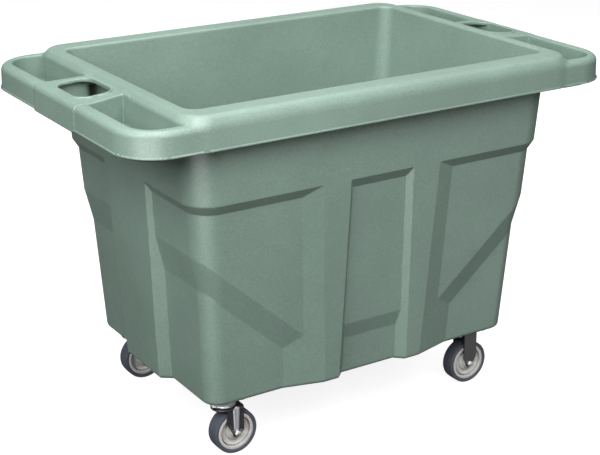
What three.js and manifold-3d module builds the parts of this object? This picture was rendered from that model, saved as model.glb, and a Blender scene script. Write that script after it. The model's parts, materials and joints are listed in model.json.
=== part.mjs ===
// Four-caster moulded polyethylene bulk cart: a tapered tub with recessed corner
// panels, a rolled rim with a grip extension at each end, two swivel casters at
// the -X end and two rigid casters at the +X end.
// Millimetres, +Z up, +X along the long side, wheels stand on z = 0.
import * as THREE from "three";
import { ConvexGeometry } from "three/addons/geometries/ConvexGeometry.js";
import { mergeVertices } from "three/addons/utils/BufferGeometryUtils.js";
import Module from "manifold-3d";
const wasm = await Module(); wasm.setup();
const { Manifold, Mesh: MMesh } = wasm;

// ---------------------------------------------------------------- dimensions
const BAND_HX = 590.6, BAND_HY = 358.1, BAND_R = 92;   // outer band half sizes and corner radius
const BAND_Z0 = 724.5;                                 // lower edge of the band
const RAIL_TOP = 777, RIM_TOP = 792.7;                 // grip rail top, tub rim top
const RING_HX = 476, RING_R = 58;                      // tub rim outer half length and corner radius
const BODY_HX = 449.1, BODY_HY = 316.4;                // body half sizes at the band's lower edge
const TAPER_X = 0.0567, TAPER_Y = 0.0515;              // body draft, mm per mm of height
const BODY_Z0 = 137.3;                                 // underside of the floor
const COLLAR_Z = 595.1, COLLAR_K = 1.79;               // lower end of the collar, slope of its bevel
const DEPTH1 = 11.8, DEPTH2 = 23.8, DEPTHC = 18.6;     // recess depths: upper, lower, centre lower
const BODY_R = 62;                                     // body corner radius
const END_STEP_Z = 477.8, END_STEP_DROP = 76;          // end recess step
const DIAG_X = 176.4, DIAG_Z = 260.9, DIAG_M = 0.892, DIAG_K = 5.4; // diagonal step on the long sides
const CEN_STEP_Z = 260.1, CEN_STEP_DROP = 35;          // centre panel step
const RIB_OUT_T = 147.6, RIB_OUT_B = 125.1, RIB_OUT_K = 3.83;
const RIB_IN_T = 79.2, RIB_IN_B = 89.5, RIB_IN_K = 1.05;
const END_RIB_T = 95.2, END_RIB_B = 75.1, END_RIB_K = 0.73;
const CAV_TOP = [444.3, 298.7, 34], CAV_BOT = [375.6, 255.5, 40], FLOOR_Z = 146;
const WALL = 6;                                        // rim and pocket wall thickness
const POCKET_X1 = 559, POCKET_Y1 = 329, POCKET_R = 52, POCKET_FLOOR = 716; // pockets between rail and rim
const BRIDGE_HY = 104, BRIDGE_HY_IN = 88;              // bridge half width at the rail and at the rim
const HOLE_X = 521, HOLE_HX = 37, HOLE_HY = 59;        // hand hole centre and half sizes
const WHEEL_R = 50.8, TYRE_W = 32, HUB_HW = 18.2;      // 4 in wheel, 1 1/4 in tread
const WHEEL_X = 314.8, WHEEL_Y = 214.6, TRAIL = 22;
const SWIVEL_YAW = 0.0;
const PLATE_HX = 42, PLATE_HY = 30, PLATE_T = 3.7, PLATE_R = 8;
const BOLT_X = 33, BOLT_Y = 21, BOLT_R = 3.9;
const GAP = 0.3;

// ---------------------------------------------------------------- helpers
function toManifold(geo) {
  let g = geo.index ? geo.toNonIndexed() : geo.clone();
  g.deleteAttribute("normal"); g.deleteAttribute("uv");
  g = mergeVertices(g, 1e-4);
  const idx = g.index.array, tri = [];
  for (let i = 0; i < idx.length; i += 3) {
    const [a, b, c] = [idx[i], idx[i + 1], idx[i + 2]];
    if (a !== b && b !== c && a !== c) tri.push(a, b, c);
  }
  return new Manifold(new MMesh({ numProp: 3,
    vertProperties: new Float32Array(g.attributes.position.array),
    triVerts: new Uint32Array(tri) }));
}
function toGeometry(m) {
  const mesh = m.getMesh(), n = mesh.numProp, src = mesh.vertProperties;
  const pos = new Float32Array(src.length / n * 3);
  for (let i = 0; i < src.length / n; i++) for (let k = 0; k < 3; k++) pos[i * 3 + k] = src[i * n + k];
  const g = new THREE.BufferGeometry();
  g.setAttribute("position", new THREE.BufferAttribute(pos, 3));
  g.setIndex(new THREE.BufferAttribute(new Uint32Array(mesh.triVerts), 1));
  g.computeVertexNormals();
  return g;
}
// rounded rectangle outline, counter-clockwise, n segments per corner
function rrect(hx, hy, r, n = 8) {
  const p = [];
  for (const [sx, sy, a0] of [[1, 1, 0], [-1, 1, 90], [-1, -1, 180], [1, -1, 270]])
    for (let i = 0; i <= n; i++) {
      const a = (a0 + 90 * i / n) * Math.PI / 180;
      p.push([sx * (hx - r) + r * Math.cos(a), sy * (hy - r) + r * Math.sin(a)]);
    }
  return p;
}
// closed loft through outlines with equal point counts: levels of [z, outline]
function loft(levels) {
  const n = levels[0][1].length, pos = [], tri = [];
  for (const [z, pts] of levels) for (const [x, y] of pts) pos.push(x, y, z);
  for (let l = 0; l + 1 < levels.length; l++) for (let i = 0; i < n; i++) {
    const j = (i + 1) % n, a = l * n + i, b = l * n + j, c = a + n, d = b + n;
    tri.push(a, b, d, a, d, c);
  }
  const top = (levels.length - 1) * n;
  const contour = o => o[1].map(q => new THREE.Vector2(q[0], q[1]));
  for (const f of THREE.ShapeUtils.triangulateShape(contour(levels[0]), [])) tri.push(f[0], f[2], f[1]);
  for (const f of THREE.ShapeUtils.triangulateShape(contour(levels.at(-1)), [])) tri.push(top + f[0], top + f[1], top + f[2]);
  const g = new THREE.BufferGeometry();
  g.setAttribute("position", new THREE.BufferAttribute(new Float32Array(pos), 3));
  g.setIndex(tri);
  return toManifold(g);
}
const rl = (z, hx, hy, r, n = 8) => [z, rrect(hx, hy, r, n)];
function shifted(pts, dx, dy) { return pts.map(([x, y]) => [x + dx, y + dy]); }
function hull(points) { return toManifold(new ConvexGeometry(points.map(p => new THREE.Vector3(...p)))); }
function box(x0, x1, y0, y1, z0, z1) {
  const g = new THREE.BoxGeometry(x1 - x0, y1 - y0, z1 - z0);
  g.translate((x0 + x1) / 2, (y0 + y1) / 2, (z0 + z1) / 2);
  return toManifold(g);
}
// profile [[r, z], ...] revolved about Z, closed on itself
function revolve(profile, seg = 32) {
  const pts = profile.map(([r, z]) => new THREE.Vector2(Math.max(r, 0), z));
  pts.push(pts[0].clone());
  return toManifold(latheClosed(pts, seg));
}
function latheClosed(pts, seg) {
  const g = new THREE.LatheGeometry(pts, seg);   // revolves about Y
  g.rotateX(Math.PI / 2);
  const p = g.attributes.position;               // make signed volume positive
  let v = 0; const ix = g.index.array;
  for (let i = 0; i < ix.length; i += 3) {
    const [a, b, c] = [ix[i], ix[i + 1], ix[i + 2]];
    v += p.getX(a) * (p.getY(b) * p.getZ(c) - p.getZ(b) * p.getY(c))
       - p.getY(a) * (p.getX(b) * p.getZ(c) - p.getZ(b) * p.getX(c))
       + p.getZ(a) * (p.getX(b) * p.getY(c) - p.getY(b) * p.getX(c));
  }
  if (v < 0) for (let i = 0; i < ix.length; i += 3) { const t = ix[i]; ix[i] = ix[i + 1]; ix[i + 1] = t; }
  return g;
}
function zcyl(r, z0, z1, x = 0, y = 0, seg = 24, phase = 0) {
  const g = new THREE.CylinderGeometry(r, r, z1 - z0, seg);
  g.rotateX(Math.PI / 2); g.rotateZ(phase); g.translate(x, y, (z0 + z1) / 2);
  return toManifold(g);
}
function ycyl(r, y0, y1, x, z, seg = 24) {
  const g = new THREE.CylinderGeometry(r, r, y1 - y0, seg);
  g.translate(x, (y0 + y1) / 2, z);
  return toManifold(g);
}
// outline in (x, z) extruded along Y
function prismY(pts, y0, y1) {
  const s = new THREE.Shape(pts.map(([x, z]) => new THREE.Vector2(x, z)));
  const g = new THREE.ExtrudeGeometry(s, { depth: y1 - y0, bevelEnabled: false, steps: 1 });
  g.rotateX(Math.PI / 2); g.translate(0, y1, 0);
  return toManifold(g);
}
const union = l => l.reduce((a, b) => a.add(b));
const cut = (a, l) => l.reduce((p, q) => p.subtract(q), a);
const bx = z => BODY_HX + (z - BAND_Z0) * TAPER_X;
const by = z => BODY_HY + (z - BAND_Z0) * TAPER_Y;
const lerp = (t, b, z) => b + (t - b) * (z - BODY_Z0) / (COLLAR_Z - BODY_Z0);

// ---------------------------------------------------------------- tub
function bodyLoft(inset, zTop, e = 6) {
  const r = Math.max(BODY_R - inset * 0.7, 20), z0 = BODY_Z0;
  return loft([
    rl(z0, bx(z0) - inset - e, by(z0) - inset - e, r - e),
    rl(z0 + 2, bx(z0) - inset - e * 0.3, by(z0) - inset - e * 0.3, r - e * 0.3),
    rl(z0 + e, bx(z0 + e) - inset, by(z0 + e) - inset, r),
    rl(zTop, bx(zTop) - inset, by(zTop) - inset, r)]);
}
function tub() {
  const S0 = bodyLoft(0, 760), S2 = bodyLoft(DEPTH2, 640), SC = bodyLoft(DEPTHC, 640);
  let S1 = bodyLoft(DEPTH1, 640);
  // end steps: slanted wedges across the tub
  for (const s of [-1, 1]) {
    const x1 = bx(END_STEP_Z) - DEPTH1, z1 = END_STEP_Z, m = END_STEP_DROP / (DEPTH2 - DEPTH1);
    const w = [[x1 + 18, z1 + 18 * m], [x1 - 60, z1 - 60 * m], [x1 + 60, 60], [x1 + 60, z1 + 18 * m]];
    S1 = S1.subtract(prismY(s > 0 ? w : w.map(([x, z]) => [-x, z]).reverse(), -340, 340));
  }
  // diagonal steps, one per quadrant, and the step of each centre panel
  for (const sy of [-1, 1]) {
    for (const sx of [-1, 1]) {
      const y1 = by(DIAG_Z + 60) - DEPTH1, pts = [];
      for (const x of [108, 480]) {
        const z = DIAG_Z + DIAG_M * (x - DIAG_X);
        pts.push([sx * x, sy * (y1 + 14), z + 14 * DIAG_K], [sx * x, sy * (y1 - 22), z - 22 * DIAG_K],
          [sx * x, sy * (y1 + 14), 40], [sx * x, sy * (y1 - 22), 40]);
      }
      S1 = S1.subtract(hull(pts));
    }
    const y1 = by(CEN_STEP_Z) - DEPTH1, m = CEN_STEP_DROP / (DEPTHC - DEPTH1), pts = [];
    for (const x of [-106, 106])
      pts.push([x, sy * (y1 + 20), CEN_STEP_Z + 20 * m], [x, sy * (y1 - 20), CEN_STEP_Z - 20 * m],
        [x, sy * (y1 + 20), 90], [x, sy * (y1 - 20), 90]);
    S1 = S1.subtract(hull(pts));
  }
  const parts = [S2, S1, SC.intersect(box(-106, 106, -400, 400, 100, 640))];
  // collar above the recesses, with a bevelled lower edge
  const dz = (DEPTH2 + 4) * COLLAR_K, i2 = DEPTH2 + 4;
  parts.push(loft([
    rl(COLLAR_Z - dz, bx(COLLAR_Z) - i2, by(COLLAR_Z) - i2, BODY_R - i2 * 0.7),
    rl(COLLAR_Z, bx(COLLAR_Z), by(COLLAR_Z), BODY_R), rl(760, bx(760), by(760), BODY_R)]));
  // ribs: two on each long side, one on each end
  const zr0 = BODY_Z0 - 8, zr1 = COLLAR_Z + 8, D = 32, E = 2;
  for (const sy of [-1, 1]) for (const sx of [-1, 1]) {
    const pts = [];
    for (const z of [zr0, zr1]) {
      const xo = lerp(RIB_OUT_T, RIB_OUT_B, z), xi = lerp(RIB_IN_T, RIB_IN_B, z), y = by(z);
      pts.push([sx * (xi + RIB_IN_K * E), sy * (y + E), z], [sx * (xo - RIB_OUT_K * E), sy * (y + E), z],
        [sx * (xi - RIB_IN_K * D), sy * (y - D), z], [sx * (xo + RIB_OUT_K * D), sy * (y - D), z]);
    }
    parts.push(S0.intersect(hull(pts)));
  }
  for (const sx of [-1, 1]) {
    const pts = [];
    for (const z of [zr0, zr1]) {
      const ye = lerp(END_RIB_T, END_RIB_B, z), x = bx(z);
      for (const sy of [-1, 1])
        pts.push([sx * (x + E), sy * (ye - END_RIB_K * E), z], [sx * (x - D), sy * (ye + END_RIB_K * D), z]);
    }
    parts.push(S0.intersect(hull(pts)));
  }
  let body = union(parts);

  // rim ring around the tub and the grip extension at both ends
  const ring = loft([rl(BAND_Z0, RING_HX, BAND_HY, RING_R), rl(772, RING_HX, BAND_HY, RING_R),
    rl(783, RING_HX - 4, BAND_HY - 4, RING_R - 4), rl(790, RING_HX - 11, BAND_HY - 11, RING_R - 11),
    rl(RIM_TOP, RING_HX - 20, BAND_HY - 20, RING_R - 20)]);
  const ext = loft([rl(BAND_Z0, BAND_HX, BAND_HY, BAND_R), rl(764, BAND_HX, BAND_HY, BAND_R),
    rl(772, BAND_HX - 3, BAND_HY - 3, BAND_R - 3), rl(RAIL_TOP, BAND_HX - 11, BAND_HY - 11, BAND_R - 11)]);
  let rim = ring.add(ext);
  // bridge plates between rail and ring, sloping up to the ring
  for (const s of [-1, 1]) rim = rim.add(prismY([[466, 740], [562, 740], [562, 776], [472, 784], [466, 784]]
    .map(([x, z]) => [s * x, z]).slice()[s > 0 ? "slice" : "reverse"](), -BRIDGE_HY, BRIDGE_HY));
  // pocket outlines: between rail, ring corner and bridge
  const pockets = [], pocketShells = [], holes = [], holeShells = [];
  for (const sx of [-1, 1]) {
    for (const sy of [-1, 1]) {
      const make = g => {   // g grows the outline
        const x1 = POCKET_X1 + g, y1 = POCKET_Y1 + g, R = POCKET_R + g, pts = [];
        pts.push([RING_HX - 1.5 * g, BRIDGE_HY_IN - g], [x1, BRIDGE_HY - g]);
        for (let i = 0; i <= 6; i++) { const a = Math.PI / 2 * i / 6; pts.push([x1 - R + R * Math.cos(a), y1 - R + R * Math.sin(a)]); }
        // inner side follows the rim's rounded corner
        const cx = RING_HX - RING_R, cy = BAND_HY - RING_R, a1 = Math.asin((POCKET_Y1 - cy) / RING_R);
        if (g) pts.push([RING_HX - 1.5 * g, y1]);
        else for (let i = 0; i <= 5; i++) { const a = a1 * (1 - i / 5); pts.push([cx + RING_R * Math.cos(a), cy + RING_R * Math.sin(a)]); }
        const out = pts.map(([x, y]) => [sx * x, sy * y]);
        return { ccw: sx * sy > 0 ? out : out.reverse(), z0: POCKET_FLOOR - (g ? WALL - 1 : 0) };
      };
      const inner = make(0), outer = make(WALL);
      pockets.push(loft([[inner.z0, inner.ccw], [800, inner.ccw]]));
      pocketShells.push(loft([[outer.z0, outer.ccw], [770, outer.ccw]]));
      rim = rim.add(loft([[outer.z0, outer.ccw], [740, outer.ccw]]));
    }
    const h = (g, n = 6) => shifted(rrect(HOLE_HX + g, HOLE_HY + g, 30 + g, n), sx * HOLE_X, 0);
    const w = g => shifted(rrect(39.5 + g, 78 + g, 6 + g, 3), sx * (HOLE_X - 2), 0);
    holes.push(loft([[768, h(0)], [782, h(0)], [800, h(10)]]), loft([[700, w(0)], [771, w(0)]]));
    holeShells.push(loft([[BAND_Z0 + 3, w(WALL - 1)], [772, w(WALL - 1)]]));
    rim = rim.add(loft([[768, h(7)], [783, h(7)], [786.5, h(3)]]));
  }
  // open underside of the rim between skirt and body
  let channel = loft([rl(715, RING_HX - 8, BAND_HY - 8, RING_R - 8), rl(778, RING_HX - 8, BAND_HY - 8, RING_R - 8)])
    .add(loft([rl(715, BAND_HX - WALL - 2, BAND_HY - WALL - 2, BAND_R - WALL - 2), rl(756, BAND_HX - WALL - 2, BAND_HY - WALL - 2, BAND_R - WALL - 2),
      rl(767, BAND_HX - WALL - 8, BAND_HY - WALL - 8, BAND_R - WALL - 8)]));
  channel = cut(channel, [loft([rl(700, bx(700), by(700), BODY_R), rl(790, bx(790), by(790), BODY_R)]),
    ...pocketShells, ...holeShells]);
  rim = cut(rim, [channel]);
  body = body.add(rim);
  // plain inside
  const T = CAV_TOP, B = CAV_BOT;
  const mix = z => { const t = (z - FLOOR_Z) / (RIM_TOP - 12 - FLOOR_Z); return [0, 1, 2].map(i => B[i] + (T[i] - (i < 2 ? 6 : 3) - B[i]) * t); };
  const lv = (z, d) => { const m = mix(z); return rl(z, m[0] + d, m[1] + d, m[2] + d); };
  const cavity = loft([lv(FLOOR_Z, -9), lv(FLOOR_Z + 3, -2.6), lv(FLOOR_Z + 9, 0), lv(RIM_TOP - 12, 0),
    rl(RIM_TOP - 4, T[0] - 3.5, T[1] - 3.5, T[2] - 1), rl(RIM_TOP + 1, T[0] + 2, T[1] + 2, T[2] + 3)]);
  body = cut(body, [cavity, ...pockets, ...holes]);
  // blind seats for the caster bolts in the floor
  for (const [cx, cy] of casterPlates()) for (const [u, v] of boltSpots())
    body = body.subtract(zcyl(BOLT_R + GAP, BODY_Z0 - 1, 143.3, cx + u, cy + v, 16));
  return body;
}
function boltSpots() { return [[-BOLT_X, -BOLT_Y], [BOLT_X, -BOLT_Y], [BOLT_X, BOLT_Y], [-BOLT_X, BOLT_Y]]; }
function casterPlates() {
  return [[-WHEEL_X - TRAIL, -WHEEL_Y], [-WHEEL_X - TRAIL, WHEEL_Y], [WHEEL_X, -WHEEL_Y], [WHEEL_X, WHEEL_Y]];
}

// ---------------------------------------------------------------- casters
const PZ1 = BODY_Z0 - GAP, PZ0 = PZ1 - PLATE_T;
function plate(holeR) {
  let m = loft([rl(PZ0, PLATE_HX, PLATE_HY, PLATE_R, 4), rl(PZ1, PLATE_HX, PLATE_HY, PLATE_R, 4)]);
  m = cut(m, boltSpots().map(([u, v]) => zcyl(BOLT_R + GAP, PZ0 - 1, PZ1 + 1, u, v, 16)));
  if (holeR) m = m.subtract(zcyl(holeR, PZ0 - 1, PZ1 + 1));
  return m;
}
function plateBolt() {   // hex head below the plate, shank up into the floor
  return zcyl(BOLT_R, PZ0 - GAP - 1, 143.0, 0, 0, 16).add(zcyl(7.2, PZ0 - GAP - 5.2, PZ0 - GAP, 0, 0, 6));
}
const legY0 = HUB_HW + GAP, LEG_T = 3;                 // inner face of a leg, sheet thickness
function legOutline(topL, topR, zTop, cx, zL, zR) {    // leg ending round the axle
  const arc = [], r = 11;
  for (let i = 0; i <= 10; i++) { const a = (-4 - 172 * i / 10) * Math.PI / 180; arc.push([cx + r * Math.cos(a), WHEEL_R + r * Math.sin(a)]); }
  return [[topL, zTop], [topL, zL], ...arc.reverse(), [topR, zR], [topR, zTop]];
}
function swivelFork() {  // origin at the kingpin axis, wheel at +TRAIL
  const z0 = 109, z1 = 112.5, hy = legY0 + LEG_T;
  const L = legOutline(-2, 39, z1, TRAIL, 76, 54);
  let m = prismY(L, -hy, -legY0).add(prismY(L, legY0, hy)).add(box(-2, 39, -hy, hy, z0, z1));
  m = m.add(revolve([[0, z0], [27, z0], [27, z1 + 2], [24, z1 + 3.6], [0, z1 + 3.6]]));
  m = m.subtract(zcyl(6.3 + GAP, 100, 125)).subtract(ycyl(4.76 + GAP, -60, 60, TRAIL, WHEEL_R, 20));
  return m;
}
function rigidBracket() {
  const hy = legY0 + LEG_T, L = legOutline(-18, 18, PZ1, 0, 66, 66);
  let m = plate(0);
  m = m.add(prismY(L, -hy, -legY0).add(prismY(L, legY0, hy)));
  m = m.subtract(ycyl(4.76 + GAP, -60, 60, 0, WHEEL_R, 20));
  // heads of the plate bolts sit beside the legs: keep the strip under them clear
  return cut(m, boltSpots().map(([u, v]) => zcyl(7.6, PZ0 - 9, PZ0, u, v + Math.sign(v) * 1.5, 12)));
}
function raceCup() { return revolve([[7, 121.5], [25, 121.5], [29, 124.5], [30, 130], [30, PZ0 - GAP], [7, PZ0 - GAP]]); }
function ballRace() { return revolve([[13, 116.5], [26, 116.5], [28, 119.2], [26, 121.2], [13, 121.2]]); }
function kingpin() { return zcyl(6.3, 103.2, PZ1 - 0.3, 0, 0, 20).add(zcyl(9.6, PZ0 + 1.6, PZ1 - 0.3, 0, 0, 20)); }
function kingNut() { return zcyl(10.2, 104, 109 - GAP, 0, 0, 6, Math.PI / 6).subtract(zcyl(6.3 + GAP, 100, 112)); }
function wheelCore() {   // revolved about the axle, then turned onto Y
  const b = 6.8, w = TYRE_W / 2;
  return revolve([[b, -HUB_HW], [12.5, -HUB_HW], [13.5, -11.5], [20, -10], [21.5, -6.5], [27, -6.5], [33.5, -11.5],
    [34.2, -14], [43.2, -14.6], [43.2, 14.6], [34.2, 14], [33.5, 11.5], [27, 6.5], [21.5, 6.5], [20, 10], [13.5, 11.5],
    [12.5, HUB_HW], [b, HUB_HW]], 40);
}
function tyre() {
  const i = 43.2 + GAP, w = TYRE_W / 2, R = WHEEL_R;
  return revolve([[i, -14.6], [44.6, -w], [48.6, -w], [R - 0.7, -w + 2.2], [R, -w + 6], [R, w - 6],
    [R - 0.7, w - 2.2], [48.6, w], [44.6, w], [i, 14.6]], 48);
}
function sleeve() { return revolve([[4.76 + GAP, -HUB_HW], [6.5, -HUB_HW], [6.5, HUB_HW], [4.76 + GAP, HUB_HW]], 24); }
const AX0 = legY0 + LEG_T + GAP;
function axleBolt() {    // along Y, head on -Y
  return ycyl(4.76, -AX0 - 1, AX0 + 9.5, 0, 0, 20).add(hexY(8.1, -AX0 - 6, -AX0));
}
function hexY(r, y0, y1) { return ycyl(r, y0, y1, 0, 0, 6); }
function axleNut() { return hexY(8.1, AX0, AX0 + 7.2).subtract(ycyl(4.76 + GAP, AX0 - 5, AX0 + 20, 0, 0, 20)); }

// ---------------------------------------------------------------- assembly
const group = new THREE.Group(); group.name = "bulk_cart";
function put(name, m, color, rough, metal) {
  const mesh = new THREE.Mesh(toGeometry(m), new THREE.MeshStandardMaterial({ color, roughness: rough, metalness: metal }));
  mesh.name = name; mesh.material.name = "mat_" + name; group.add(mesh);
}
const GREEN = 0x71897e, BLACK = 0x141416, ZINC = 0xb9bcc0, TYRE = 0x3f444f, HUB = 0xc5c3c0;
const placeY = (m, x, y, z) => m.rotate([90, 0, 0]).translate([x, y, z]);
put("tub_body", tub(), GREEN, 0.55, 0);
for (const [tag, cx, cy, swivel] of [["front_swivel", -WHEEL_X, -WHEEL_Y, 1], ["rear_swivel", -WHEEL_X, WHEEL_Y, 1],
  ["front_rigid", WHEEL_X, -WHEEL_Y, 0], ["rear_rigid", WHEEL_X, WHEEL_Y, 0]]) {
  const px = swivel ? cx - TRAIL : cx;
  if (swivel) {
    put(`${tag}_plate`, plate(9.9).translate([px, cy, 0]), ZINC, 0.4, 1);
    put(`${tag}_race_cup`, raceCup().translate([px, cy, 0]), ZINC, 0.4, 1);
    put(`${tag}_ball_race`, ballRace().translate([px, cy, 0]), ZINC, 0.35, 1);
    put(`${tag}_kingpin`, kingpin().translate([px, cy, 0]), ZINC, 0.35, 1);
    put(`${tag}_fork`, swivelFork().translate([px, cy, 0]), BLACK, 0.3, 0.6);
    put(`${tag}_king_nut`, kingNut().translate([px, cy, 0]), ZINC, 0.35, 1);
  } else put(`${tag}_bracket`, rigidBracket().translate([px, cy, 0]), BLACK, 0.3, 0.6);
  put(`${tag}_wheel_core`, placeY(wheelCore(), cx, cy, WHEEL_R), HUB, 0.5, 0);
  put(`${tag}_tyre`, placeY(tyre(), cx, cy, WHEEL_R), TYRE, 0.8, 0);
  put(`${tag}_axle_sleeve`, placeY(sleeve(), cx, cy, WHEEL_R), ZINC, 0.4, 1);
  put(`${tag}_axle_bolt`, axleBolt().translate([cx, cy, WHEEL_R]), ZINC, 0.3, 1);
  put(`${tag}_axle_nut`, axleNut().translate([cx, cy, WHEEL_R]), ZINC, 0.3, 1);
  boltSpots().forEach(([u, v], i) => put(`${tag}_plate_bolt_${i + 1}`, plateBolt().translate([px + u, cy + v, 0]), ZINC, 0.35, 1));
}
export default group;
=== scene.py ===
import bpy, bmesh, json, math
import numpy as np
from mathutils import Vector, Matrix


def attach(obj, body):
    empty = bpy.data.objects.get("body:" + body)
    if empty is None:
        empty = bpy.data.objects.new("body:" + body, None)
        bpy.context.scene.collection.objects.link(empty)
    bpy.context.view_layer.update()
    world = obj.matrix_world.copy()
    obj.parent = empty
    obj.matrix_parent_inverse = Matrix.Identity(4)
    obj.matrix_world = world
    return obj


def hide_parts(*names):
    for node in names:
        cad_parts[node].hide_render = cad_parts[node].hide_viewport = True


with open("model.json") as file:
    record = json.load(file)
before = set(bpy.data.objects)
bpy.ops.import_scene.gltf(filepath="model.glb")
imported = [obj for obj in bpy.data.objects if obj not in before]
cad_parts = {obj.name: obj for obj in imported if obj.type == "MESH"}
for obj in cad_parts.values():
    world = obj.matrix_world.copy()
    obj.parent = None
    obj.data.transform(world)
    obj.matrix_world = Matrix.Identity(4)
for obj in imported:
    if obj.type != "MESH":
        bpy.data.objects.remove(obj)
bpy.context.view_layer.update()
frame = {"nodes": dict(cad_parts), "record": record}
nodes = frame["nodes"]

# ------------------------------------------------------------------ camera
AZ, EL, FPX = math.radians(-32.5054), math.radians(20.394), 1419.84
back = Vector((math.sin(AZ) * math.cos(EL), -math.cos(AZ) * math.cos(EL), math.sin(EL)))
right = Vector((math.cos(AZ), math.sin(AZ), 0.0))
up = back.cross(right)
cam_data = bpy.data.cameras.new("camera")
cam_data.sensor_fit = "HORIZONTAL"
cam_data.sensor_width = 36.0
cam_data.lens = FPX * 36.0 / 600.0
cam_data.clip_start, cam_data.clip_end = 0.05, 100.0
cam_data.dof.use_dof = False
cam = bpy.data.objects.new("camera", cam_data)
bpy.context.scene.collection.objects.link(cam)
rot = Matrix((right, up, back)).transposed().to_4x4()
cam.matrix_world = Matrix.Translation((-1.6412, -2.5645, 1.5107)) @ rot
bpy.context.scene.camera = cam

# ------------------------------------------------------------------ helpers
def link(obj):
    bpy.context.scene.collection.objects.link(obj)
    return obj

def mesh_object(name, verts, faces, smooth=True, sharp_deg=None):
    me = bpy.data.meshes.new(name)
    me.from_pydata([tuple(v) for v in verts], [], [tuple(f) for f in faces])
    me.validate(clean_customdata=False)
    me.update()
    obj = link(bpy.data.objects.new(name, me))
    if smooth:
        me.shade_smooth()
    if sharp_deg is not None:
        me.set_sharp_from_angle(angle=math.radians(sharp_deg))
    return obj

# ================================================================== tub
# All tub numbers are in millimetres, the same as the solid it stands for.
BAND_HX, BAND_HY, BAND_R, BAND_Z0 = 590.6, 358.1, 92.0, 724.5
RAIL_TOP, RIM_TOP = 777.0, 792.7
RING_HX, RING_R = 476.0, 58.0
BODY_HX, BODY_HY, TAPER_X, TAPER_Y, BODY_Z0, BODY_R = 449.1, 316.4, 0.0567, 0.0515, 137.3, 62.0
COLLAR_Z, COLLAR_K = 595.1, 1.79
D1, D2, DC = 11.8, 23.8, 18.6
END_STEP_Z, END_DROP = 477.8, 76.0
DIAG_X, DIAG_Z, DIAG_M, DIAG_DROP = 176.4, 260.9, 0.892, 64.5
CEN_Z, CEN_DROP = 260.1, 35.0
FLOOR_Z = 146.0

def mn(a, b): return np.minimum(a, b)
def mx(a, b): return np.maximum(a, b)
def smin(a, b, k):
    h = mx(k - np.abs(a - b), 0) / k
    return mn(a, b) - h * h * k * 0.25
def smax(a, b, k): return -smin(-a, -b, k)
def rint(a, b, r):      # intersection with a round edge of radius r
    return mn(-r, mx(a, b)) + np.hypot(mx(a + r, 0), mx(b + r, 0))
def runi(a, b, r):      # union with a round inside corner of radius r
    return mx(r, mn(a, b)) - np.hypot(mx(r - a, 0), mx(r - b, 0))
def rr(x, y, hx, hy, r):
    qx, qy = np.abs(x) - hx + r, np.abs(y) - hy + r
    return np.hypot(mx(qx, 0), mx(qy, 0)) + mn(mx(qx, qy), 0) - r
def lerpz(t, b, z): return b + (t - b) * (z - BODY_Z0) / (COLLAR_Z - BODY_Z0)

def recess(x, y, z):
    """How deep the moulded recesses go into the outer wall."""
    a = BODY_HX + (z - BAND_Z0) * TAPER_X
    b = BODY_HY + (z - BAND_Z0) * TAPER_Y
    ax, ay = np.abs(x), np.abs(y)
    qx, qy = ax - (a - BODY_R), ay - (b - BODY_R)
    corner = (qx > 0) & (qy > 0)
    t = np.where(corner, np.arctan2(qx, mx(qy, 1e-6)) / (math.pi / 2), np.where(qx > qy, 1.0, 0.0))
    top = (COLLAR_Z - z) / COLLAR_K
    zc0 = DIAG_Z + DIAG_M * (a - BODY_R - DIAG_X)
    zl = DIAG_Z + DIAG_M * (mn(ax, a - BODY_R) - DIAG_X)
    zl = np.where(t > 0, zc0 + (END_STEP_Z - zc0) * (2 * t - t * t), zl)
    drop = DIAG_DROP + (END_DROP - DIAG_DROP) * t
    s = (zl - z) / drop
    D = D1 + (D2 - D1) * smin(smax(s, s * 0, 0.03), s * 0 + 1, 0.03)
    side_l = (ax - lerpz(147.6, 125.1, z)) / 3.83
    side_e = (ay - lerpz(95.2, 75.1, z)) / 0.73
    side = np.where(t <= 0, side_l, np.where(t >= 1, side_e, 200.0))
    # let the side limits fade into the corner without a jump
    side = np.where((t > 0) & (t < 1), mn(200.0, mx(side_l, 30)), side)
    d = smin(smin(side, top, 0.25), D, 0.35)
    sc = (CEN_Z - z) / CEN_DROP
    Dc = D1 + (DC - D1) * smin(smax(sc, s * 0, 0.04), s * 0 + 1, 0.04)
    side_c = (lerpz(79.2, 89.5, z) - ax) / 1.05
    dc = smin(smin(side_c, top, 0.25), Dc, 0.35)
    dc = np.where(t <= 0, dc, -50.0)
    return smax(mx(d, dc), d * 0, 0.3)

def cavity(x, y, z):
    u = (z - FLOOR_Z) / (RIM_TOP - 12 - FLOOR_Z)
    hx = 375.6 + (438.3 - 375.6) * u
    hy = 255.5 + (292.7 - 255.5) * u
    r = 40 + (29 - 40) * u
    return rr(x, y, hx, hy, r)

def pocket(x, y, z, g):
    """Pocket between grip rail and rim, one in each corner of the rim, grown by g."""
    ax, ay = np.abs(x), np.abs(y)
    outer = rr(x, y, 559.5 + g, 329 + g, 52 + g)
    ring = -(rr(x, y, RING_HX, BAND_HY, RING_R)) + (1.0 - g)
    br = (88 + (ax - RING_HX) * 0.193 - g) - ay
    f = rint(rint(outer, ring, 3.0), br, 3.0)
    return rint(f, (718 - (g - 1.5 if g > 0 else 0)) - z, 6.0)

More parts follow.
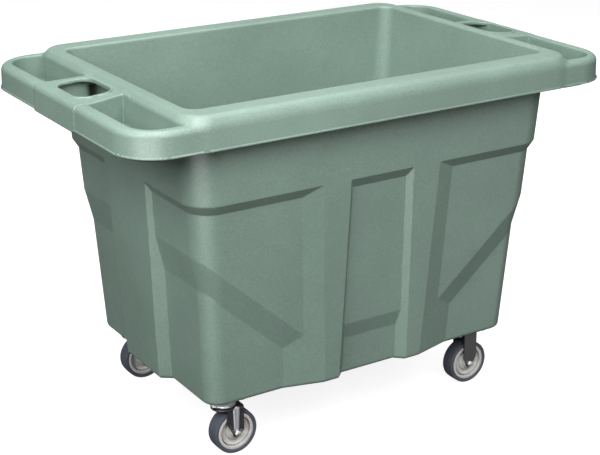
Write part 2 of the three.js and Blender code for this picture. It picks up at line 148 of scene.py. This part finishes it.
def tub_sdf(x, y, z):
    a = BODY_HX + (z - BAND_Z0) * TAPER_X
    b = BODY_HY + (z - BAND_Z0) * TAPER_Y
    body0 = rr(x, y, a, b, BODY_R)
    near = body0 > -60
    d = np.zeros_like(body0)
    m = near & (z < COLLAR_Z + 12)
    if m.any():
        d[m] = recess(x[m], y[m], z[m])
    body = rint(body0 + d, BODY_Z0 - z, 9.0)
    body = mx(body, z - 770)
    # rim
    lip = 1.9 * np.clip((729.4 - z) / 2.4, 0, 1)
    step = 0.8 * np.clip((98 - np.abs(y)) / 1.2, 0, 1) * np.clip((np.abs(x) - 560) / 4, 0, 1)
    draft = (z - BAND_Z0) * 0.02
    hxr, hyr = RING_HX - 2.2, BAND_HY - 2.2
    ring = rr(x, y, RING_HX, hyr - draft + lip, RING_R)
    ring = rint(ring, z - RIM_TOP, 20.0)
    ext = rr(x, y, BAND_HX - 2.4 - draft + lip + step, hyr - draft + lip, BAND_R)
    ext = rint(ext, z - RAIL_TOP - 0.7 * step, 13.0)
    rim = runi(ring, ext, 9.0)
    ax, ay = np.abs(x), np.abs(y)
    drop = 2.6 * np.clip((98 - ay) / 1.6, 0, 1) * np.clip((ax - 566) / 3, 0, 1)
    rim = rint(rim, BAND_Z0 - drop - z, 1.6)
    # open underside
    ch_ring = mx(rr(x, y, RING_HX - 9.2, BAND_HY - 9.2, RING_R - 7), z - 777)
    ch_ext = mx(rr(x, y, BAND_HX - 9.2, BAND_HY - 9.2, BAND_R - 7), z - 765)
    ch = mn(ch_ring, ch_ext)
    ch = mx(ch, -body0)                              # keep the tub wall
    pk_shell = pocket(x, y, z, 5.5)
    well = lambda g: rr(ax - 519, y, 39.5 + g, 78 + g, 6 + g)
    ch = mx(ch, -pk_shell)
    ch = mx(ch, -mx(well(5.5), 727.5 - z))
    rim = rint(rim, -ch, 1.5)
    rim = mn(rim, mx(pk_shell, z - 745))
    # bridge plate with the hand hole's raised lip
    btop = 777.0 + (559 - ax) * 0.076
    bridge = rint(mx(mx(ax - 566, 462 - ax), ay - 112), z - mn(btop, 784), 3.0)
    bridge = mx(bridge, 766 - z)
    rim = runi(rim, bridge, 3.0)
    hole = rr(ax - 521, y, 39.5, 64, 30)
    lipo = rint(mx(hole - 5.2, 772 - z), z - (btop + 3.0), 1.3)
    rim = runi(rim, lipo, 0.8)
    # pockets and holes
    rim = rint(rim, -pocket(x, y, z, 0.0), 3.5)
    rim = rint(rim, -mx(hole, 764 - z), 1.0)
    void = mx(rr(ax - 506, y, 52.5, 78, 6), z - mn(btop - 4.6, 777))
    rim = rint(rim, -mx(void, 700 - z), 1.0)
    f = runi(body, rim, 6.0)
    f = mn(f, mn(body, rim))
    cav = rint(cavity(x, y, z), FLOOR_Z - z, 16.0)
    f = rint(f, -cav, 6.0)
    return f

def surface_nets(sdf, lo, hi, h, band=4):
    """Sparse surface-nets mesh of sdf, cell size h, refined from cells band times as large."""
    lo = np.array(lo, float); n = np.ceil((np.array(hi) - lo) / (h * band)).astype(int)
    H = h * band
    gx, gy, gz = [lo[i] + H * (np.arange(n[i]) + 0.5) for i in range(3)]
    X, Y, Z = np.meshgrid(gx, gy, gz, indexing="ij")
    F = sdf(X.ravel(), Y.ravel(), Z.ravel()).reshape(X.shape)
    act = np.abs(F) < H * 1.25
    ci = np.argwhere(act)
    # corner samples of every fine cell inside the active coarse cells
    N = n * band + 1
    base = ci * band
    off = np.stack(np.meshgrid(*[np.arange(band + 1)] * 3, indexing="ij"), -1).reshape(-1, 3)
    keys = ((base[:, None, :] + off[None]).reshape(-1, 3))
    lin = (keys[:, 0] * N[1] + keys[:, 1]) * N[2] + keys[:, 2]
    lin = np.unique(lin)
    ix = lin // (N[1] * N[2]); iy = (lin // N[2]) % N[1]; iz = lin % N[2]
    val = np.empty(len(lin), np.float64)
    for s in range(0, len(lin), 1 << 20):
        e = slice(s, s + (1 << 20))
        val[e] = sdf(lo[0] + h * ix[e], lo[1] + h * iy[e], lo[2] + h * iz[e])
    neg = val < 0
    def find(k):
        p = np.searchsorted(lin, k)
        p = np.minimum(p, len(lin) - 1)
        return np.where(lin[p] == k, p, -1)
    step = [N[1] * N[2], N[2], 1]
    # fine cells: lowest corner index, all eight corners sampled
    cells_off = np.stack(np.meshgrid(*[np.arange(band)] * 3, indexing="ij"), -1).reshape(-1, 3)
    cc = (base[:, None, :] + cells_off[None]).reshape(-1, 3)
    clin = (cc[:, 0] * N[1] + cc[:, 1]) * N[2] + cc[:, 2]
    corner_d = [i * step[0] + j * step[1] + k * step[2] for i in (0, 1) for j in (0, 1) for k in (0, 1)]
    idx = [find(clin + d) for d in corner_d]
    sg = np.stack([neg[i] for i in idx], 1)
    cross = sg.any(1) & ~sg.all(1)
    clin, cc = clin[cross], cc[cross]
    idx = [i[cross] for i in idx]
    order = np.argsort(clin)
    clin, cc = clin[order], cc[order]
    idx = [i[order] for i in idx]
    V = [val[i] for i in idx]
    pos = [(i, j, k) for i in (0, 1) for j in (0, 1) for k in (0, 1)]
    acc = np.zeros((len(clin), 3)); cnt = np.zeros(len(clin))
    for p in range(8):
        for q in range(p + 1, 8):
            d = [pos[q][m] - pos[p][m] for m in range(3)]
            if sum(map(abs, d)) != 1 or min(d) < 0:
                continue
            va, vb = V[p], V[q]
            c = (va < 0) != (vb < 0)
            t = np.where(c, va / np.where(c, va - vb, 1), 0)
            pt = np.array(pos[p])[None] + t[:, None] * np.array(d)[None]
            acc += np.where(c[:, None], pt, 0); cnt += c
    mean = lo + h * (cc + acc / cnt[:, None])
    # quads across every sign-changing grid edge, and the plane of the surface there
    faces, nc = [], len(clin)
    A = np.zeros((nc, 6)); B = np.zeros((nc, 3))
    def cfind(k):
        p = np.searchsorted(clin, k); p = np.minimum(p, len(clin) - 1)
        return np.where(clin[p] == k, p, -1)
    for axis in range(3):
        u, v = [(1, 2), (2, 0), (0, 1)][axis]
        other = find(lin + step[axis])
        ok = (other >= 0)
        s0, s1 = neg, np.zeros_like(neg); s1[ok] = neg[other[ok]]
        chg = ok & (s0 != s1)
        k = lin[chg]; flip = s0[chg]
        v0, v1 = val[chg], val[other[chg]]
        P = lo + h * np.stack([ix[chg], iy[chg], iz[chg]], 1).astype(float)
        P[:, axis] += h * v0 / (v0 - v1)
        g = gradient(sdf, P); g /= np.maximum(np.linalg.norm(g, axis=1), 1e-9)[:, None]
        gp = (g * P).sum(1)
        comp = [g[:, 0] ** 2, g[:, 0] * g[:, 1], g[:, 0] * g[:, 2], g[:, 1] ** 2, g[:, 1] * g[:, 2], g[:, 2] ** 2]
        q = [cfind(k), cfind(k - step[u]), cfind(k - step[u] - step[v]), cfind(k - step[v])]
        for c in q:
            w = c >= 0
            for m in range(6):
                A[:, m] += np.bincount(c[w], comp[m][w], nc)
            for m in range(3):
                B[:, m] += np.bincount(c[w], (g[:, m] * gp)[w], nc)
        good = np.all(np.stack(q) >= 0, axis=0)
        Q = np.stack(q, 1)[good]; fl = flip[good]
        Q[~fl] = Q[~fl][:, ::-1]
        faces.append(Q)
    M = np.empty((nc, 3, 3))
    for m, (a, b) in enumerate([(0, 0), (0, 1), (0, 2), (1, 1), (1, 2), (2, 2)]):
        M[:, a, b] = M[:, b, a] = A[:, m]
    r = B - np.einsum("nij,nj->ni", M, mean)
    M += np.eye(3) * 0.06
    d = np.linalg.solve(M, r[:, :, None])[:, :, 0]
    vert = mean + d
    clo, chi = lo + h * (cc - 0.25), lo + h * (cc + 1.25)
    vert = np.clip(vert, clo, chi)
    return vert, np.concatenate(faces)

def gradient(sdf, P, e=0.15):
    g = np.empty_like(P)
    for i in range(3):
        A, B = P.copy(), P.copy(); A[:, i] += e; B[:, i] -= e
        g[:, i] = (sdf(*A.T) - sdf(*B.T)) / (2 * e)
    return g

def project(sdf, P, steps=3, cap=1.2):
    for _ in range(steps):
        g = gradient(sdf, P)
        f = sdf(*P.T)
        n2 = np.maximum((g * g).sum(1), 0.2)
        s = (f / n2)[:, None] * g
        ln = np.linalg.norm(s, axis=1)
        s *= np.minimum(1, cap / np.maximum(ln, 1e-9))[:, None]
        P = P - s
    return P

def crease_normals(obj, sdf, V, F, off=0.10):
    """Corner normals taken from the surface just inside each face, so creases stay crisp."""
    me = obj.data
    n = len(me.polygons)
    assert n == len(F) and len(me.loops) == 4 * n
    li = np.empty(4 * n, np.int64); me.loops.foreach_get("vertex_index", li)
    Q = V[li].reshape(n, 4, 3)
    P = Q + (Q.mean(1, keepdims=True) - Q) * off
    P = P.reshape(-1, 3)
    N = np.empty_like(P)
    for a in range(0, len(P), 1 << 19):
        N[a:a + (1 << 19)] = gradient(sdf, P[a:a + (1 << 19)], 0.08)
    N /= np.maximum(np.linalg.norm(N, axis=1), 1e-9)[:, None]
    me.normals_split_custom_set(N.tolist())

cell = 3.1
V, F = surface_nets(tub_sdf, (-604.3, -371.7, 124.9), (604, 372, 806), cell)
V = project(tub_sdf, V, 1, cell * 0.3)
tub = mesh_object("tub_moulding", V * 0.001, F)
crease_normals(tub, tub_sdf, V, F)
print("tub", len(V), len(F))
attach(tub, "cart"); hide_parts("tub_body")

# ================================================================== casters
def fillet(p, r, n=3):
    """Round every corner of the closed outline p by up to r."""
    out = []
    for i in range(len(p)):
        a, b, c = (np.array(p[k % len(p)], float) for k in (i - 1, i, i + 1))
        u, v = a - b, c - b
        lu, lv = np.linalg.norm(u), np.linalg.norm(v)
        t = min(r, lu * 0.45, lv * 0.45)
        s, e = b + u / lu * t, b + v / lv * t
        for k in range(n + 1):
            w = k / n
            out.append((1 - w) ** 2 * s + 2 * w * (1 - w) * b + w * w * e)
    return out

def lathe(name, profile, cx, cy, seg=112, r=0.8, axis="y", cz=50.8):
    """Closed profile of (radius, along) in mm, revolved about Y (or Z) through (cx, cy, cz)."""
    P = fillet(profile, r)
    n = len(P); V, F = [], []
    for k in range(seg):
        a = 2 * math.pi * k / seg
        for q in P:
            c, s2 = q[0] * math.cos(a), q[0] * math.sin(a)
            V.append((cx + c, cy + q[1], cz + s2) if axis == "y" else (cx + c, cy + s2, cz + q[1]))
    for k in range(seg):
        m = (k + 1) % seg
        for i in range(n):
            j = (i + 1) % n
            F.append((k * n + i, k * n + j, m * n + j, m * n + i))
    o = mesh_object(name, np.array(V) * 0.001, F)
    bm = bmesh.new(); bm.from_mesh(o.data)
    bmesh.ops.recalc_face_normals(bm, faces=bm.faces); bm.to_mesh(o.data); bm.free()
    o.data.shade_smooth()
    return o

def poly2(px, pz, pts):
    """Signed distance to a closed polygon in the x-z plane."""
    d = np.full(px.shape, 1e18); sgn = np.ones(px.shape)
    n = len(pts)
    for i in range(n):
        x0, z0 = pts[i]; x1, z1 = pts[i - 1]
        ex, ez = x1 - x0, z1 - z0
        wx, wz = px - x0, pz - z0
        t = np.clip((wx * ex + wz * ez) / (ex * ex + ez * ez), 0, 1)
        d = mn(d, (wx - ex * t) ** 2 + (wz - ez * t) ** 2)
        c1, c2, c3 = pz >= z0, pz < z1, ex * wz > ez * wx
        sgn = np.where((c1 & c2 & c3) | (~c1 & ~c2 & ~c3), -sgn, sgn)
    return sgn * np.sqrt(d)

def sdf_piece(name, sdf, lo, hi, cell, shift):
    V, F = surface_nets(sdf, lo, hi, cell)
    V = project(sdf, V, 2, cell * 0.5)
    o = mesh_object(name, (V + np.array(shift)) * 0.001, F)
    return o

WR, TRAIL, LEG0, LEG1 = 50.8, 22.0, 18.5, 21.5
def leg_outline(l, r_, top, cx, zl, zr):
    arc = [(cx + 11 * math.cos(a), WR + 11 * math.sin(a)) for a in [math.radians(-176 + 172 * i / 12) for i in range(13)]]
    return [(l, top), (l, zl)] + arc + [(r_, zr), (r_, top)]

def fork_sdf(x, y, z):
    ay = np.abs(y)
    prof = poly2(x, z, leg_outline(-2, 39, 140, TRAIL, 76, 54))
    outer = rint(ay - LEG1, z - 112.5, 5.0)
    inner = rint(ay - LEG0, z - 109.2, 2.6)
    u = rint(rint(outer, -inner, 0.8), prof, 0.9)
    r = np.hypot(x, y)
    dome = rint(mx(r - 27, 109.2 - z), z - (113.6 + 0 * r), 1.6)
    f = runi(u, dome, 3.0)
    # pressed stiffening step round the edge of each leg
    inset = prof + 4.2
    f = mx(f, -mx(mx(inset, LEG1 - 0.9 - ay), z - 104))
    f = mx(f, 6.6 - r)
    ax2 = np.hypot(x - TRAIL, z - WR)
    return mx(f, 5.1 - ax2)

def bracket_sdf(x, y, z):
    ay = np.abs(y)
    prof = poly2(x, z, leg_outline(-18, 18, 160, 0, 66, 66))
    leg = rint(rint(rint(ay - LEG1, LEG0 - ay, 0.7), prof, 0.9), z - 136, 0.5)
    plate = rint(rr(x, y, 42, 30, 8), np.abs(z - 135.15) - 1.85, 0.7)
    f = runi(plate, leg, 2.6)
    f = mx(f, 136.0 - 137.0 + (z - 136.0))
    ax2 = np.hypot(x, z - WR)
    return mx(f, 5.1 - ax2)

def hexhead(name, cx, cy, cz, r, y0, y1, dome, sgn):
    """Six-sided head or nut along Y with turned chamfers; sgn is the outward side."""
    V, F, N = [], [], 48
    rings = [(0.0, 0.0, 1.0), (1.0, 0.0, 1.0), (1.0, 0.0, 0.0), (1.0, 0.72, 0.0), (0.93, 0.9, 0.35), (0.84, 1.0, 1.0), (0.55, 1.0 + dome, 1.0), (0.0, 1.0 + dome * 1.4, 1.0)]
    for (q, t, c) in rings:
        for k in range(N):
            a = 2 * math.pi * k / N
            b = (a % (math.pi / 3)) - math.pi / 6
            hexr = r * math.cos(math.pi / 6) / math.cos(b)
            rad = q * (hexr * (1 - c) + r * 0.875 * c) if q > 0 else 0.0
            V.append((cx + rad * math.cos(a), cy + sgn * (y0 + (y1 - y0) * t), cz + rad * math.sin(a)))
    for i in range(len(rings) - 1):
        for k in range(N):
            m = (k + 1) % N
            F.append((i * N + k, i * N + m, (i + 1) * N + m, (i + 1) * N + k))
    o = mesh_object(name, np.array(V) * 0.001, F, sharp_deg=28)
    bm = bmesh.new(); bm.from_mesh(o.data)
    bmesh.ops.remove_doubles(bm, verts=bm.verts, dist=1e-6)
    bmesh.ops.recalc_face_normals(bm, faces=bm.faces); bm.to_mesh(o.data); bm.free()
    o.data.shade_smooth(); o.data.set_sharp_from_angle(angle=math.radians(28))
    return o

HUB = [(6.8, -18.2), (11.6, -18.2), (12.4, -17.2), (13.0, -11.6), (18.8, -11.0), (19.8, -10.2), (20.4, -5.2), (26.4, -5.0), (31.0, -11.2), (32.4, -11.8),
       (32.6, -2.6), (35.2, -2.6), (35.4, -14.6), (36.2, -15.2), (41.2, -15.2), (42.0, -14.4)]
HUB = HUB + [(r, -y) for r, y in HUB[::-1]]
TYRE = [(42.25, -14.2), (43.4, -15.6), (48.0, -16.0), (48.5, -15.3), (49.0, -15.3), (49.5, -15.9), (50.3, -15.6), (50.1, -14.4), (50.6, -9.0), (50.8, -0.7), (50.6, 0.0)]
TYRE = TYRE + [(r, -y) for r, y in TYRE[:-1][::-1]]
new = []
def add(o, body, slot, *rep):
    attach(o, body)
    if rep:
        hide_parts(*rep)
    new.append((o, slot))
    return o
cc = 0.8
fork_mesh = bracket_mesh = None
for tag, cx, cy, sw in (("front_swivel", -314.8, -214.6, 1), ("rear_swivel", -314.8, 214.6, 1), ("front_rigid", 314.8, -214.6, 0), ("rear_rigid", 314.8, 214.6, 0)):
    hub, whl = (tag + "_fork_body" if sw else "cart"), tag + "_wheel"
    add(lathe(tag + "_wheel_hub", HUB, cx, cy, r=0.35), whl, "hub_nylon", tag + "_wheel_core")
    add(lathe(tag + "_tread", TYRE, cx, cy, r=0.3), whl, "tyre_rubber", tag + "_tyre")
    if sw:
        px = cx - TRAIL
        if fork_mesh is None:
            V, F = surface_nets(fork_sdf, (-30, -29.6, 36), (43, 30, 118), cc); fork_mesh = (project(fork_sdf, V, 2, 0.5), F)
        V, F = fork_mesh
        add(mesh_object(tag + "_pressed_fork", (V + np.array((px, cy, 0))) * 0.001, F), hub, "black_steel", tag + "_fork")
        for side, sg in (("near", -1), ("far", 1)):
            # rib: half round, running up the leg from the axle
            V, F, nz, na = [], [], 26, 12
            for i in range(nz + 1):
                z = 55.5 + (113.5 - 55.5) * i / nz
                e = min(1, math.sqrt(max(0, 1 - (1 - min(1, (z - 55.5) / 5.0)) ** 2)), math.sqrt(max(0, 1 - (1 - min(1, (113.5 - z) / 3.0)) ** 2)))
                w = (6.2 + 2.6 * (z - 55.5) / 58.0) * max(e, 0.02)
                for k in range(na + 1):
                    a = math.pi * k / na
                    V.append((cx - 1.8 + w * math.cos(a), cy + sg * (LEG1 - 1.2 + 0.2 + (1.0 + 2.6 * e) * math.sin(a)), z))
            for i in range(nz):
                for k in range(na):
                    F.append((i * (na + 1) + k, i * (na + 1) + k + 1, (i + 1) * (na + 1) + k + 1, (i + 1) * (na + 1) + k))
                F.append((i * (na + 1) + na, i * (na + 1), (i + 1) * (na + 1), (i + 1) * (na + 1) + na))
            F.append(tuple(range(na + 1))); F.append(tuple(nz * (na + 1) + k for k in range(na, -1, -1)))
            o = mesh_object(f"{tag}_{side}_leg_rib", np.array(V) * 0.001, F, sharp_deg=50)
            bm = bmesh.new(); bm.from_mesh(o.data); bmesh.ops.recalc_face_normals(bm, faces=bm.faces); bm.to_mesh(o.data); bm.free()
            add(o, hub, "zinc_steel")
    else:
        if bracket_mesh is None:
            V, F = surface_nets(bracket_sdf, (-44.3, -33.7, 36), (45, 34, 140), cc); bracket_mesh = (project(bracket_sdf, V, 2, 0.5), F)
        V, F = bracket_mesh
        add(mesh_object(tag + "_pressed_bracket", (V + np.array((cx, cy, 0))) * 0.001, F), "cart", "black_steel", tag + "_bracket")
    add(hexhead(tag + "_bolt_head", cx, cy, WR, 7.6, 21.8, 27.4, 0.12, -1), hub, "zinc_steel", tag + "_axle_bolt")
    add(hexhead(tag + "_nut_head", cx, cy, WR, 7.9, 21.8, 28.6, 0.0, 1), hub, "zinc_steel", tag + "_axle_nut")
    add(lathe(tag + "_bolt_shank", [(0.05, -23), (4.7, -23), (4.7, 31.2), (4.0, 32.2), (0.05, 32.2)], cx, cy, seg=40, r=0.3), hub, "zinc_steel")

# ================================================================== materials
def material(name):
    m = bpy.data.materials.new(name); m.use_nodes = True
    nt = m.node_tree; nt.nodes.clear()
    out = nt.nodes.new("ShaderNodeOutputMaterial")
    bs = nt.nodes.new("ShaderNodeBsdfPrincipled")
    nt.links.new(bs.outputs[0], out.inputs[0])
    return m, nt, bs

def surface(name, base, rough, grain, vary=0.05, wear=(0.8, 0.8, 0.8), wear_amt=0.0, metallic=0.0, bump=(0.25, 0.0004), spec=0.5,
            big=3.0, rough_var=0.08, peel=0.0, coat=0.0, streak=0.0, lo_hi=(0.53, 0.60)):
    """Moulded or coated surface: mottled colour, fine grain, uneven gloss and rubbed edges."""
    m, nt, bs = material(name)
    N, L = nt.nodes.new, nt.links.new
    tc = N("ShaderNodeTexCoord")
    def noise(scale, detail=3.0, rough_=0.55, vec=None, dist=0.0):
        n = N("ShaderNodeTexNoise"); n.inputs["Scale"].default_value = scale
        n.inputs["Detail"].default_value = detail; n.inputs["Roughness"].default_value = rough_
        n.inputs["Distortion"].default_value = dist
        L(vec if vec is not None else tc.outputs["Object"], n.inputs["Vector"])
        return n.outputs["Fac"]
    def maprange(v, a, b, c, d):
        r = N("ShaderNodeMapRange"); r.inputs[1].default_value = a; r.inputs[2].default_value = b
        r.inputs[3].default_value = c; r.inputs[4].default_value = d
        L(v, r.inputs[0]); return r.outputs[0]
    def math_(op, a, b):
        q = N("ShaderNodeMath"); q.operation = op
        for i, v in enumerate((a, b)):
            if isinstance(v, (int, float)): q.inputs[i].default_value = v
            else: L(v, q.inputs[i])
        return q.outputs[0]
    def mixc(f, a, b):
        q = N("ShaderNodeMix"); q.data_type = "RGBA"; q.clamp_factor = True
        L(f, q.inputs[0])
        for i, v in ((6, a), (7, b)):
            if isinstance(v, tuple): q.inputs[i].default_value = (*v, 1)
            else: L(v, q.inputs[i])
        return q.outputs[2]
    cloud = noise(big, 4.0, 0.6)
    speck = noise(grain, 2.0, 0.5)
    dark = tuple(c * (1 - vary) for c in base); light = tuple(min(1, c * (1 + vary)) for c in base)
    f1 = maprange(cloud, 0.3, 0.7, 0.0, 1.0)
    f2 = maprange(speck, 0.3, 0.7, -0.5, 0.5)
    col = mixc(math_("ADD", f1, f2), dark, light)
    rv = maprange(noise(big * 7, 4.0, 0.65), 0.3, 0.7, rough - rough_var, rough + rough_var)
    if streak > 0:
        mp = N("ShaderNodeMapping"); mp.inputs["Scale"].default_value = (60, 60, 3.0)
        L(tc.outputs["Object"], mp.inputs["Vector"])
        st = maprange(noise(1.0, 3.0, 0.6, mp.outputs[0], 0.6), 0.55, 0.8, 0.0, streak)
        rv = math_("ADD", rv, st)
        col = mixc(st, col, tuple(min(1, c * 1.25) for c in base))
    if wear_amt > 0:
        geo = N("ShaderNodeNewGeometry")
        e = maprange(geo.outputs["Pointiness"], lo_hi[0], lo_hi[1], 0.0, 1.0)
        e = math_("MULTIPLY", e, maprange(noise(38, 5.0, 0.7), 0.42, 0.62, 0.25, 1.0))
        e = math_("MULTIPLY", e, wear_amt)
        col = mixc(e, col, wear)
        rv = math_("ADD", rv, math_("MULTIPLY", e, 0.08))
    L(col, bs.inputs["Base Color"]); L(rv, bs.inputs["Roughness"])
    bs.inputs["Metallic"].default_value = metallic
    bs.inputs["Specular IOR Level"].default_value = spec
    if coat > 0:
        bs.inputs["Coat Weight"].default_value = coat; bs.inputs["Coat Roughness"].default_value = 0.12
    h = maprange(noise(grain, 3.0, 0.6), 0.0, 1.0, 0.0, 1.0)
    if peel > 0:
        h = math_("ADD", h, math_("MULTIPLY", noise(grain * 0.22, 2.0, 0.5), peel))
    b = N("ShaderNodeBump"); b.inputs["Strength"].default_value = bump[0]; b.inputs["Distance"].default_value = bump[1]
    L(h, b.inputs["Height"]); L(b.outputs[0], bs.inputs["Normal"])
    return m

mats = {
    "moulded_polyethylene": surface("polyethylene_grey_green", (0.172, 0.248, 0.208), 0.42, 310, vary=0.12, wear=(0.30, 0.40, 0.35), wear_amt=0.35,
                                    bump=(0.35, 0.0005), spec=0.5, big=2.6, rough_var=0.05, peel=0.6, streak=0.05),
    "zinc_steel": surface("zinc_plate", (0.82, 0.83, 0.85), 0.36, 420, vary=0.03, metallic=1.0, bump=(0.02, 0.0002), big=45, rough_var=0.04,
                          wear=(0.9, 0.9, 0.88), wear_amt=0.12),
    # black_steel: the near-black base colour is painted dark reflection. It stands in for dark surroundings mirrored
    # by the zinc-plated steel of the forks and brackets.
    "black_steel": surface("near_black_dark_reflection", (0.018, 0.018, 0.021), 0.30, 500, vary=0.25, bump=(0.2, 0.0003), big=30, rough_var=0.07, peel=0.8,
                           wear=(0.25, 0.25, 0.26), wear_amt=0.35, coat=0.5),
    "hub_nylon": surface("hub_warm_grey", (0.55, 0.54, 0.52), 0.42, 700, vary=0.05, bump=(0.2, 0.0003), big=40, rough_var=0.06,
                         wear=(0.68, 0.67, 0.65), wear_amt=0.25),
    "tyre_rubber": surface("tyre_blue_grey", (0.064, 0.073, 0.098), 0.55, 800, vary=0.14, bump=(0.4, 0.0004), big=35, rough_var=0.08,
                           wear=(0.17, 0.18, 0.21), wear_amt=0.5),
}
tub.data.materials.append(mats["moulded_polyethylene"])
replaced = {"tub_body"}
for o, slot in new:
    o.data.materials.append(mats[slot])
slot_of = {r["node"]: r["material_slot"] for r in frame["record"]["subparts"]}
for name, o in nodes.items():
    for sl in o.material_slots:
        sl.material = mats[slot_of.get(name, "zinc_steel")]

# ================================================================== floor and light
scene = bpy.context.scene
scene.view_settings.view_transform = "Standard"
fl = mesh_object("floor", [(-60, -60, -0.0006), (60, -60, -0.0006), (60, 60, -0.0006), (-60, 60, -0.0006)], [(0, 1, 2, 3)], smooth=False)
m_fl, nt, bs = material("floor_white")
bs.inputs["Base Color"].default_value = (0.30, 0.30, 0.30, 1)
bs.inputs["Roughness"].default_value = 0.9
bs.inputs["Emission Color"].default_value = (1, 1, 1, 1)
bs.inputs["Emission Strength"].default_value = 0.86
fl.data.materials.append(m_fl)
fl.visible_diffuse = False; fl.visible_glossy = False; fl.visible_shadow = False

# a pale dome behind everything, so that low views have no dark sky
bm = bmesh.new(); bmesh.ops.create_uvsphere(bm, u_segments=48, v_segments=24, radius=28.0)
bmesh.ops.reverse_faces(bm, faces=bm.faces)
dm = bpy.data.meshes.new("backdrop_dome"); bm.to_mesh(dm); bm.free()
dome = bpy.data.objects.new("backdrop_dome", dm); bpy.context.scene.collection.objects.link(dome)
dmat = bpy.data.materials.new("backdrop_pale"); dmat.use_nodes = True
dn = dmat.node_tree; dn.nodes.clear()
de = dn.nodes.new("ShaderNodeEmission"); de.inputs["Color"].default_value = (0.955, 0.96, 0.96, 1); de.inputs["Strength"].default_value = 0.93
do = dn.nodes.new("ShaderNodeOutputMaterial"); dn.links.new(de.outputs[0], do.inputs["Surface"])
dm.materials.append(dmat)
dome.visible_diffuse = dome.visible_glossy = dome.visible_shadow = dome.visible_transmission = False
world = bpy.data.worlds.new("studio"); scene.world = world
world.use_nodes = True
world.node_tree.nodes["Background"].inputs[0].default_value = (1, 1, 1, 1)
world.node_tree.nodes["Background"].inputs[1].default_value = 0.13

def area(name, loc, target, size, power, color=(1, 1, 1)):
    d = bpy.data.lights.new(name, "AREA"); d.shape = "RECTANGLE"; d.size, d.size_y = size; d.energy = power; d.color = color
    o = link(bpy.data.objects.new(name, d)); o.location = loc
    o.rotation_euler = (Vector(target) - Vector(loc)).to_track_quat("-Z", "Y").to_euler()
    return o
area("overhead", (0.0, 0.1, 4.0), (0, 0, 0.6), (3.0, 3.0), 118)
area("key", (-0.66, -2.44, 2.62), (0, 0, 0.5), (2.3, 2.1), 102)
area("side_key", (-2.55, -1.04, 2.35), (0, 0, 0.5), (1.9, 1.9), 99)
back_fill = area("back_fill", (2.3, 2.3, 2.1), (0, 0, 0.5), (2.4, 2.4), 80)
back_fill.visible_glossy = False
card = area("low_card", (-2.25, -1.95, 0.10), (0, 0, 0.5), (2.6, 0.9), 62)
card.visible_diffuse = False
card3 = area("front_card", (1.62, -2.6, -0.43), (0, 0, 0.4), (2.2, 1.6), 9)
card3.visible_diffuse = False
card2 = area("high_card", (-0.90, -1.0, 3.70), (0, 0, 0.7), (1.0, 1.0), 50)
card2.visible_diffuse = False
